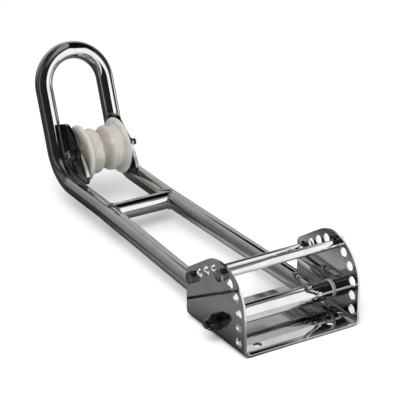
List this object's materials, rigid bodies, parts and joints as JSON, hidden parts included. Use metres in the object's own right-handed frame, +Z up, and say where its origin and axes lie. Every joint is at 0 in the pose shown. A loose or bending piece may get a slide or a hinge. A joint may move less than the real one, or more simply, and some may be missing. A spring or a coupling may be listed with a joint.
{
  "type": "bow roller",
  "caption": "Hinged bow roller: bent tube frame with a hoop over a grooved nylon roller, in a folded deck bracket with a curved row of adjusting holes and stop rods.",
  "frame": {"origin": "middle of the bracket's underside, midway between the four deck bolt holes", "axes": "+X outboard along the frame towards the roller and hoop, +Y to port, +Z up from the deck"},
  "size_m": [0.5375, 0.1722, 0.1863],
  "materials": {
    "bracket_steel": "mirror polished stainless steel",
    "tube_steel": "mirror polished stainless steel",
    "plate_steel": "mirror polished stainless steel",
    "rod_steel": "mirror polished stainless steel",
    "fastener_steel": "bright stainless steel",
    "bush_nylon": "satin nylon",
    "insert_nylon": "satin nylon",
    "roller_nylon": "satin turned nylon"
  },
  "bodies": {
    "bracket": {"base_bracket": "bracket_steel", "outboard_stop_tube": "rod_steel", "upper_stop_tube": "rod_steel", "outboard_stop_bolt": "fastener_steel", "upper_stop_bolt": "fastener_steel", "stop_nuts": "fastener_steel", "pivot_bolt": "fastener_steel", "pivot_washers": "fastener_steel", "pivot_nut": "fastener_steel", "pivot_nut_insert": "insert_nylon"},
    "frame": {"frame_tube": "tube_steel", "crossbar": "tube_steel", "hinge_tube": "tube_steel", "port_hinge_bush": "bush_nylon", "starboard_hinge_bush": "bush_nylon", "port_roller_plate": "plate_steel", "starboard_roller_plate": "plate_steel", "axle_stud": "fastener_steel", "axle_sleeve": "rod_steel", "thrust_washers": "bush_nylon", "axle_washers": "fastener_steel", "axle_nuts": "fastener_steel", "axle_nut_inserts": "insert_nylon"},
    "roller": {"roller": "roller_nylon"}
  },
  "joints": [
    {"name": "frame_tilt", "type": "hinge", "parent": "bracket", "child": "frame", "pos_m": [-0.0046, 0, 0.0219], "axis": [0, -1, 0], "range_deg": [-8, 14]},
    {"name": "roller_spin", "type": "hinge", "parent": "frame", "child": "roller", "pos_m": [0.39221, 0, 0.06693], "axis": [0, 1, 0], "continuous": true}
  ]
}
